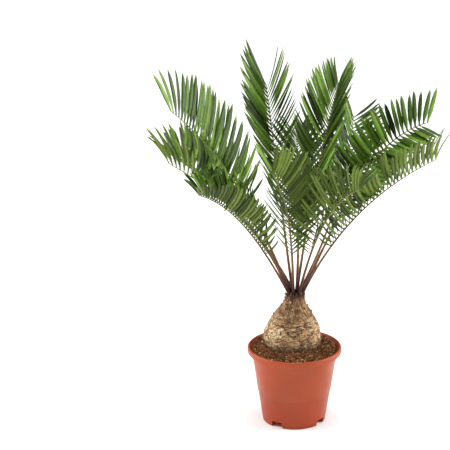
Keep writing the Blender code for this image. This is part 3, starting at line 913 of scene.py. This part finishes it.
def add_crumb(store, spot, draw):
    """A small uneven eight-faced grain."""
    kind = draw.choices((0, 1, 2, 3), (9, 6, 3, 1))[0]
    size = draw.uniform(0.0007, 0.0024) * (0.75 if kind == 3 else 1.0)
    turned = Matrix.Rotation(draw.uniform(0, math.pi), 3, "Z")
    middle = spot + Vector((0, 0, size * 0.25))
    start = len(store["points"])
    for corner in CRUMB_SHAPE:
        store["points"].append(middle + turned @ Vector(corner) * size * draw.uniform(0.6, 1.25))
    for face in CRUMB_FACES:
        store["faces"].append(tuple(start + index for index in face))
        store["indices"].append(kind)


# Caudex


def caudex_shift(height):
    share = height / (NECK_HEIGHT - SOIL_TOP)
    bow = CAUDEX_BOW * 4 * share * (1 - share)
    return CAUDEX_FOOT_SHIFT + (CAUDEX_NECK_SHIFT - CAUDEX_FOOT_SHIFT) * share + bow


def outline_radius(height):
    rows = CAUDEX_OUTLINE
    if height >= rows[0][0]:
        return rows[0][1]
    for (high, high_radius), (low, low_radius) in zip(rows, rows[1:]):
        if height >= low:
            share = (height - low) / (high - low)
            return low_radius + (high_radius - low_radius) * share
    return rows[-1][1]


def caudex_radius(height):
    """The stem's radius at a height above the soil, rounded off between the outline's points."""
    height *= CAUDEX_OUTLINE[0][0] / (NECK_HEIGHT - SOIL_TOP)
    near = [outline_radius(max(0.0, height + step)) for step in (-0.003, 0.0, 0.003)]
    return (near[0] + 2 * near[1] + near[2]) / 4


def smooth_step(low, high, value):
    share = min(1.0, max(0.0, (value - low) / (high - low)))
    return share * share * (3 - 2 * share)


def bark_relief(angle, height):
    """Height of the bark from 0 in a crack to 1, and its values: layer, rise, tint and upright seam."""
    rise = height / (NECK_HEIGHT - SOIL_TOP)
    place = Vector((0.05 * math.cos(angle), 0.05 * math.sin(angle), height))
    wander = 1.9 * noise.noise(place * 27.0) + 0.75 * noise.noise(place * 85.0)
    wander += 0.30 * noise.noise(place * 240.0)
    layer = 10 + height / LAYER_HEIGHT + wander
    seam = 40 + angle * caudex_radius(height) ** 0.5 * 42 + 0.9 * noise.noise(place * 60.0)
    seam += 0.35 * noise.noise(place * 200.0)
    upper = smooth_step(SEAMS_FROM, SEAMS_FULL, rise)
    in_layer = layer - math.floor(layer)
    in_seam = seam - math.floor(seam)
    # A layer is thickest at its lower edge, which stands off the one below it.
    shingle = smooth_step(0.0, 0.14, in_layer) * (1.0 - 0.45 * in_layer)
    strip = smooth_step(0.0, 0.16, in_seam) * smooth_step(0.0, 0.12, 1 - in_seam)
    lapped = shingle * (1 - upper) + strip * (0.55 + 0.45 * shingle) * upper
    patch = noise.noise(place * 75.0) * 0.6 + noise.noise(place * 22.0) * 0.4
    along = angle * 5.5 + 1.3 * noise.noise(place * 50.0)
    scale = noise.cell(Vector((math.floor(layer) * 3.7, math.floor(along) * 2.3, 0.5)))
    tint = 0.58 + 0.42 * patch + 0.12 * (scale - 0.5) * 2 - 0.10 * upper
    return lapped, (layer, min(1.0, max(0.0, rise)), min(1.0, max(0.0, tint)), seam)


class COONTIE_OT_caudex(bpy.types.Operator):
    """Add the bulbous stem with the relief of its bark"""

    bl_idname = "coontie.add_caudex"
    bl_label = "Caudex"

    def execute(self, context):
        tallest = NECK_HEIGHT - SOIL_TOP
        foot = -0.004
        profile = [(0.002, SOIL_TOP + foot)]
        for index in range(CAUDEX_ROWS + 1):
            height = foot + (tallest - foot) * index / CAUDEX_ROWS
            profile.append((caudex_radius(height), SOIL_TOP + height))
        profile += [(profile[-1][0] * share, profile[-1][1] + 0.0008) for share in (0.8, 0.5, 0.1)]
        caudex = turned_body("caudex_bark", profile, CAUDEX_SIDES)
        mesh = caudex.data
        values = mesh.color_attributes.new("relief", "FLOAT_COLOR", "POINT")
        depth = sizes().bark_relief
        for vert in mesh.vertices:
            height = vert.co.z - SOIL_TOP
            angle = math.atan2(vert.co.y, vert.co.x)
            radius = math.hypot(vert.co.x, vert.co.y)
            lapped, row = bark_relief(angle, height)
            lumps = noise.noise(Vector((3 * math.cos(angle), 3 * math.sin(angle), height * 45.0)))
            side = smooth_step(0.0, 0.012, radius)
            push = side * (depth * (lapped - 0.6) + BARK_LUMPS * lumps)
            scale = (radius + push) / radius
            vert.co.x = vert.co.x * scale + caudex_shift(height)
            vert.co.y = vert.co.y * scale + CAUDEX_BACK
            values.data[vert.index].color = row
        activate(caudex)
        bpy.ops.object.shade_smooth()
        mesh.materials.clear()
        mesh.materials.append(bark_material())
        finish_piece(caudex, ["caudex"])
        self.add_neck_scales()
        return {"FINISHED"}

    def add_neck_scales(self):
        """Dry scales between the stalks' feet, loose flakes on the shoulder and a few bristles."""
        draw = random.Random(8)
        store = empty_store()
        top = NECK_HEIGHT - SOIL_TOP
        for drop, count, reach, lean in ((0.008, 20, 0.008, -0.02), (0.004, 18, 0.010, -0.16)):
            for index in range(count):
                angle = 2 * math.pi * (index + draw.uniform(-0.35, 0.35)) / count
                height = top - drop + draw.uniform(-0.002, 0.002)
                size = reach * draw.uniform(0.7, 1.2)
                add_scale(store, angle, height, size, size * 0.26, lean + draw.uniform(-0.05, 0.12), 0)
        for index in range(16):
            size = draw.uniform(0.003, 0.0065)
            height = draw.uniform(0.50, 0.97) * top
            lean = draw.uniform(0.25, 0.7)
            add_scale(store, draw.uniform(0, 2 * math.pi), height, size, size * 0.28, lean, index % 3)
        for degrees, share, size, lean, kind in STANDING_FLAKES:
            add_scale(store, math.radians(degrees), share * top, size, size * 0.30, lean, kind, 0.0022)
        for degrees, share, size, lean in NECK_BRISTLES:
            add_scale(store, math.radians(degrees), share * top, size, 0.0006, lean, 0, 0.0011)
        for index in range(7):
            size = draw.uniform(0.005, 0.009)
            height = draw.uniform(0.86, 0.98) * top
            add_scale(store, draw.uniform(0, 2 * math.pi), height, size, 0.0005, draw.uniform(0.2, 0.9), 0)
        tones = [
            scale_material("neck_scale_maroon", (0.058, 0.021, 0.010)),
            scale_material("neck_scale_brown", (0.120, 0.060, 0.030)),
            scale_material("neck_scale_tan", (0.420, 0.300, 0.180)),
        ]
        finish_piece(mesh_object("neck_scales", *store.values(), tones), [])


def add_scale(store, angle, height, reach, half_width, lean, kind, thick=0.0004):
    """A pointed scale, curved round the stem, that leans out by a share of its rise."""
    middle = Vector((caudex_shift(height), CAUDEX_BACK, SOIL_TOP))
    radius = caudex_radius(height)
    points = []
    steps = 5
    # Each ring runs along the outer face and back along the inner one.
    corners = ((1, 1), (1, 0), (1, -1), (0, -1), (0, 0), (0, 1))
    for step in range(steps + 1):
        share = step / steps
        half = half_width * (1 - share**1.8) + 0.00015
        for layer, side in corners:
            out = radius - 0.0006 + lean * reach * share + thick * layer * (1 - 0.75 * share)
            out -= 0.0005 * side**2 * (1 - share)
            turn = angle + half * side / radius
            place = Vector((out * math.cos(turn), out * math.sin(turn), height + reach * share))
            points.append(middle + place)
    add_tube(store, steps, len(corners), points, kind)


# Fronds


class Midline:
    """A frond's midline: its points and the three directions of its blade at any share of its length."""

    STEPS = 96

    def __init__(self, frond):
        self.frond = frond
        foot = Vector((CAUDEX_NECK_SHIFT + frond.foot_x / 1000, CAUDEX_BACK + frond.foot_y / 1000, 0.0))
        foot.z = NECK_HEIGHT + FROND_GAP
        self.points = [foot]
        for index in range(self.STEPS):
            along = self.axes((index + 0.5) / self.STEPS)[0]
            self.points.append(self.points[-1] + along * frond.length / self.STEPS)

    def axes(self, share):
        """Unit vectors along the midline, out of the blade's upper face, and across the blade."""
        frond = self.frond
        lean = math.radians(frond.lean + (frond.tip_lean - frond.lean) * share**frond.bend)
        azimuth = math.radians(frond.azimuth + frond.sway * share)
        out = Vector((math.cos(azimuth), math.sin(azimuth), 0.0))
        up = Vector((0.0, 0.0, 1.0))
        along = out * math.sin(lean) + up * math.cos(lean)
        face = up * math.sin(lean) - out * math.cos(lean)
        across = along.cross(face)
        roll = math.radians(frond.roll)
        upper = face * math.cos(roll) + across * math.sin(roll)
        return along, upper, across * math.cos(roll) - face * math.sin(roll)

    def point(self, share):
        place = min(max(share, 0.0), 1.0) * self.STEPS
        index = min(int(place), self.STEPS - 1)
        return self.points[index].lerp(self.points[index + 1], place - index)

    def radius(self, share):
        swell = STALK_SWELL * max(0.0, 1 - share / SWELL_UNTIL) ** 2
        return STALK_FOOT_RADIUS + (STALK_TIP_RADIUS - STALK_FOOT_RADIUS) * share**0.7 + swell


def stalk_piece(midline, finish):
    """The stalk, round below and a little hollowed along its upper side."""
    points, along = [], []
    for ring in range(STALK_RINGS + 1):
        share = ring / STALK_RINGS
        centre = midline.point(share)
        _, face, across = midline.axes(share)
        radius = midline.radius(share)
        for side in range(STALK_SIDES):
            angle = 2 * math.pi * side / STALK_SIDES
            dent = 1.0 - 0.22 * max(0.0, math.sin(angle)) ** 3
            points.append(centre + (across * math.cos(angle) + face * math.sin(angle)) * radius * dent)
            along.append(share)
    faces = tube_faces(STALK_RINGS, STALK_SIDES)
    obj = mesh_object(midline.frond.name.replace("frond", "stalk"), points, faces, None, [finish])
    tint = obj.data.color_attributes.new("along", "FLOAT_COLOR", "POINT")
    for index, share in enumerate(along):
        tint.data[index].color = (share, share, share, 1.0)
    return obj


Leaflet = namedtuple("Leaflet", "share side length opening lift turn width twist droop tint under pale")


def leaflet_plan(frond, draw):
    """Each leaflet of a frond, from the foot to the tip."""
    rows = []
    steps = round(frond.length * (LAST_PAIR - frond.first) / sizes().leaflet_spacing)
    weights = FROND_TINTS_AND_SHADE.get(frond.name, PLAIN_TINTS)
    for index in range(steps + 1):
        along = index / steps
        share = frond.first + (LAST_PAIR - frond.first) * along
        young = FIRST_LENGTH + (1.0 - FIRST_LENGTH) * min(1.0, along / GROWN_AT)
        old = 1.0 - frond.fade * max(0.0, (along - FADE_FROM) / (1.0 - FADE_FROM)) ** 1.5
        tip = max(0.0, (along - CLOSE_FROM) / (1.0 - CLOSE_FROM)) ** 3
        narrow = FIRST_WIDTH + (1.0 - FIRST_WIDTH) * min(1.0, along / BROAD_AT)
        narrow *= (1.0 - 0.20 * max(0.0, (along - 0.5) / 0.5)) * FROND_WIDTHS.get(frond.name, 1.0)
        loose = 1.0 + 2.0 * max(0.0, 1.0 - along / LOOSE_UNTIL)
        opening = frond.open_first + (frond.open_tip - frond.open_first) * along**OPENING_POWER
        opening -= frond.close * tip
        sides = ((-1, frond.end_minus, frond.turn_minus), (1, frond.end_plus, frond.turn_plus))
        for side, end, turn in sides:
            if along > end:
                continue
            rows.append(
                Leaflet(
                    share=share,
                    side=side,
                    length=frond.leaflet * young * old * draw.uniform(0.94, 1.04),
                    opening=math.radians(opening + draw.uniform(-2.5, 2.5) * loose),
                    lift=math.radians(frond.lift + draw.uniform(-3, 3) * loose),
                    turn=math.radians(turn + draw.uniform(-13, 13) * loose),
                    width=sizes().leaflet_width * draw.uniform(0.88, 1.10) * narrow,
                    twist=math.radians(draw.uniform(-14, 14) * loose),
                    droop=draw.uniform(-0.02, 0.07),
                    tint=draw.choices(range(UPPER_KINDS), weights)[0],
                    under=UPPER_KINDS + draw.choices((0, 1, 2), UNDER_WEIGHTS)[0],
                    pale=draw.random() < 0.35,
                )
            )
    return rows


def leaflet_axes(midline, leaflet):
    """Unit vectors along a leaflet, forwards across it, and its blade's own width and upper side."""
    along, face, across = midline.axes(leaflet.share)
    spread = leaflet.side * across * math.cos(leaflet.lift) + face * math.sin(leaflet.lift)
    ahead = along * math.cos(leaflet.opening) + spread * math.sin(leaflet.opening)
    forward = (along - ahead * along.dot(ahead)).normalized()
    upper = ahead.cross(forward)
    if upper.dot(face) < 0:
        upper = -upper
    wide = forward * math.cos(leaflet.turn) + upper * math.sin(leaflet.turn)
    thick = upper * math.cos(leaflet.turn) - forward * math.sin(leaflet.turn)
    return ahead, forward, wide, thick


PROBE_FACES = (
    (0, 2, 4), (0, 4, 3), (0, 3, 5), (0, 5, 2), (1, 4, 2), (1, 3, 4), (1, 5, 3), (1, 2, 5),
)


def probe_points(midline, leaflet, extra):
    """Root, tip, edges and faces of a plain leaflet, to try it against its neighbours."""
    ahead, forward, wide, thick = leaflet_axes(midline, leaflet)
    root = midline.point(leaflet.share)
    curve = forward * leaflet.length * midline.frond.arch
    middle = root + ahead * leaflet.length * 0.45 + curve * 0.25
    half = leaflet.width / 2 * 0.9 + extra
    deep = sizes().leaflet_thickness / 2 + extra
    return [
        root + ahead * 0.004,
        root + ahead * leaflet.length + curve,
        middle + wide * half,
        middle - wide * half,
        middle + thick * deep,
        middle - thick * deep,
    ]


def blade_half_width(share):
    """Half the width of a leaflet as a share of its widest: a narrow root, a long body, a blunt point."""
    root = 0.28 + 0.72 * smooth_step(0.0, 0.36, share)
    tip = max(0.0, 1.0 - max(0.0, (share - 0.55) / 0.45) ** 2.4)
    return root * (1.0 - 0.10 * share) * tip**0.6


def add_leaflet(store, midline, leaflet):
    """One leaflet with an upper and a lower face, curved forwards, cupped and slightly twisted."""
    ahead, forward, wide, thick = leaflet_axes(midline, leaflet)
    size = leaflet.length
    root = midline.point(leaflet.share) - ahead * midline.radius(leaflet.share) * 0.4
    start = len(store["points"])
    deep = sizes().leaflet_thickness / 2
    curve = forward * size * midline.frond.arch
    # The two sides of a frond are mirror images, so one side's faces are drawn the other way round.
    order = -1 if leaflet.side > 0 else 1
    for ring in range(LEAFLET_RINGS + 1):
        share = ring / LEAFLET_RINGS
        centre = root + ahead * size * share + curve * share * share
        centre -= thick * size * leaflet.droop * share * share
        turn = leaflet.twist * share
        side = wide * math.cos(turn) + thick * math.sin(turn)
        out = thick * math.cos(turn) - wide * math.sin(turn)
        half = leaflet.width / 2 * blade_half_width(share) + 0.0002
        cup = half * LEAFLET_CUP
        body = deep * (1.5 - 0.9 * share)
        store["points"] += [
            centre - side * half + out * cup,
            centre + out * (body - cup * 0.3),
            centre + side * half + out * cup,
            centre - out * (body + cup * 0.3),
        ]
    for ring in range(LEAFLET_RINGS):
        low, high = start + 4 * ring, start + 4 * (ring + 1)
        bottom, top = ring / LEAFLET_RINGS, (ring + 1) / LEAFLET_RINGS
        upper = TIP_INDEX if leaflet.pale and ring == LEAFLET_RINGS - 1 else leaflet.tint
        kinds = (upper, upper, leaflet.under, leaflet.under)
        for first, second, kind in zip((0, 1, 2, 3), (1, 2, 3, 0), kinds):
            store["faces"].append((low + first, low + second, high + second, high + first)[::order])
            store["indices"].append(kind)
            left, right = first / 2, (second or 4) / 2
            store["uvs"] += [(left, bottom), (right, bottom), (right, top), (left, top)][::order]
    last = start + 4 * LEAFLET_RINGS
    store["faces"].append((start + 3, start + 2, start + 1, start)[::order])
    store["faces"].append((last, last + 1, last + 2, last + 3)[::order])
    store["indices"] += [leaflet.under, leaflet.tint]
    store["uvs"] += [(0, 0)] * 8


def stalk_probe(midline):
    """A coarse tube round the stalk, to keep other fronds' leaflets out of it."""
    points = []
    rings, sides = 16, 4
    for ring in range(rings + 1):
        share = ring / rings
        _, face, across = midline.axes(share)
        for side in range(sides):
            angle = 2 * math.pi * side / sides
            offset = (across * math.cos(angle) + face * math.sin(angle)) * midline.radius(share)
            points.append(midline.point(share) + offset)
    return BVHTree.FromPolygons(points, tube_faces(rings, sides)[:-2])


def clear_place(midline, leaflet, others):
    """The leaflet turned or shortened so that it meets no other frond, or None."""
    for turn, rise, keep in NUDGES:
        opening, lift = leaflet.opening + turn, leaflet.lift + rise
        moved = leaflet._replace(opening=opening, lift=lift, length=leaflet.length * keep)
        probe = BVHTree.FromPolygons(probe_points(midline, moved, LEAFLET_ROOM), PROBE_FACES)
        if not any(tree.overlap(probe) for tree in others):
            return moved
    return None


class COONTIE_OT_fronds(bpy.types.Operator):
    """Add the crown: each frond's stalk and its leaflets, clear of the other fronds"""

    bl_idname = "coontie.add_fronds"
    bl_label = "Fronds"

    def execute(self, context):
        greens = leaf_materials()
        bark = stalk_material()
        midlines = [Midline(frond) for frond in FRONDS]
        stalks = [stalk_probe(midline) for midline in midlines]
        blades = []
        draw = random.Random(LEAFLET_SEED)
        for index, midline in enumerate(midlines):
            others = stalks[:index] + stalks[index + 1 :] + blades
            store = empty_store()
            store["uvs"] = []
            probes, probe_faces = [], []
            for leaflet in leaflet_plan(midline.frond, draw):
                placed = clear_place(midline, leaflet, others)
                if placed is None:
                    continue
                add_leaflet(store, midline, placed)
                base = len(probes)
                probes += probe_points(midline, placed, 0.0)
                probe_faces += [tuple(base + corner for corner in face) for face in PROBE_FACES]
            blades.append(BVHTree.FromPolygons(probes, probe_faces))
            name = midline.frond.name
            uvs = store.pop("uvs")
            leaves = mesh_object(name.replace("frond", "leaflets"), *store.values(), greens, uvs)
            finish_piece(leaves, [name])
            finish_piece(stalk_piece(midline, bark), [name])
        return {"FINISHED"}


# Stage


class COONTIE_OT_stage(bpy.types.Operator):
    """Add the pale floor, the soft lights and the camera"""

    bl_idname = "coontie.add_stage"
    bl_label = "Stage"

    def execute(self, context):
        scene = context.scene
        deselect()
        bpy.ops.mesh.primitive_plane_add(size=FLOOR_SIDE, location=(0, 0, 0))
        floor = context.object
        floor.name = "studio_floor"
        made, tree, shader = new_material("studio_floor", (0.90, 0.90, 0.90), 0.9)
        paint(tree, shader, greys(tree, noise_node(tree, 1.5, 2.0), (0.3, 0.89), (0.7, 0.91)))
        floor.data.materials.append(made)
        world = bpy.data.worlds.new("studio")
        world.use_nodes = True
        sky = world.node_tree.nodes["Background"]
        sky.inputs["Color"].default_value = (1.0, 1.0, 1.0, 1.0)
        sky.inputs["Strength"].default_value = SKY_STRENGTH
        scene.world = world
        for name, row in LIGHTS.items():
            self.add_light(name, *row)
        target = Vector(CAMERA_TARGET)
        back = Vector((0, -math.cos(CAMERA_ELEVATION), math.sin(CAMERA_ELEVATION)))
        tilt = (math.pi / 2 - CAMERA_ELEVATION, 0, 0)
        bpy.ops.object.camera_add(location=target + back * CAMERA_DISTANCE, rotation=tilt)
        camera = context.object
        camera.name = "photo_camera"
        camera.data.lens = CAMERA_LENS
        camera.data.clip_end = 100.0
        scene.camera = camera
        scene.view_settings.view_transform = "Standard"
        return {"FINISHED"}

    def add_light(self, name, place, size, power):
        aim = Vector(LIGHT_AIM) - Vector(place)
        bpy.ops.object.light_add(type="AREA", location=place)
        light = bpy.context.object
        light.name = name
        light.rotation_euler = aim.to_track_quat("-Z", "Y").to_euler()
        light.data.shape = "DISK"
        light.data.size = size
        light.data.energy = power


class COONTIE_PT_panel(bpy.types.Panel):
    """Lists the pieces of the potted coontie palm"""

    bl_idname = "COONTIE_PT_panel"
    bl_label = "Potted Coontie Palm"
    bl_space_type = "VIEW_3D"
    bl_region_type = "UI"
    bl_category = "Coontie"

    def draw(self, context):
        layout = self.layout
        for group in (context.scene.coontie_sizes, context.scene.coontie_colours):
            for key in group.__annotations__:
                layout.prop(group, key)
        for operator in OPERATORS:
            layout.operator(operator.bl_idname)


OPERATORS = (COONTIE_OT_pot, COONTIE_OT_soil, COONTIE_OT_caudex, COONTIE_OT_fronds, COONTIE_OT_stage)
CLASSES = (CoontieSizes, CoontieColours, *OPERATORS, COONTIE_PT_panel)


def register():
    for kind in CLASSES:
        bpy.utils.register_class(kind)
    bpy.types.Scene.coontie_sizes = bpy.props.PointerProperty(type=CoontieSizes)
    bpy.types.Scene.coontie_colours = bpy.props.PointerProperty(type=CoontieColours)


def unregister():
    del bpy.types.Scene.coontie_colours
    del bpy.types.Scene.coontie_sizes
    for kind in reversed(CLASSES):
        bpy.utils.unregister_class(kind)


def main():
    """Builds the plant and its stage."""
    register()
    bpy.ops.coontie.add_pot()
    bpy.ops.coontie.add_soil()
    bpy.ops.coontie.add_caudex()
    bpy.ops.coontie.add_fronds()
    bpy.ops.coontie.add_stage()


if __name__ == "__main__":
    main()
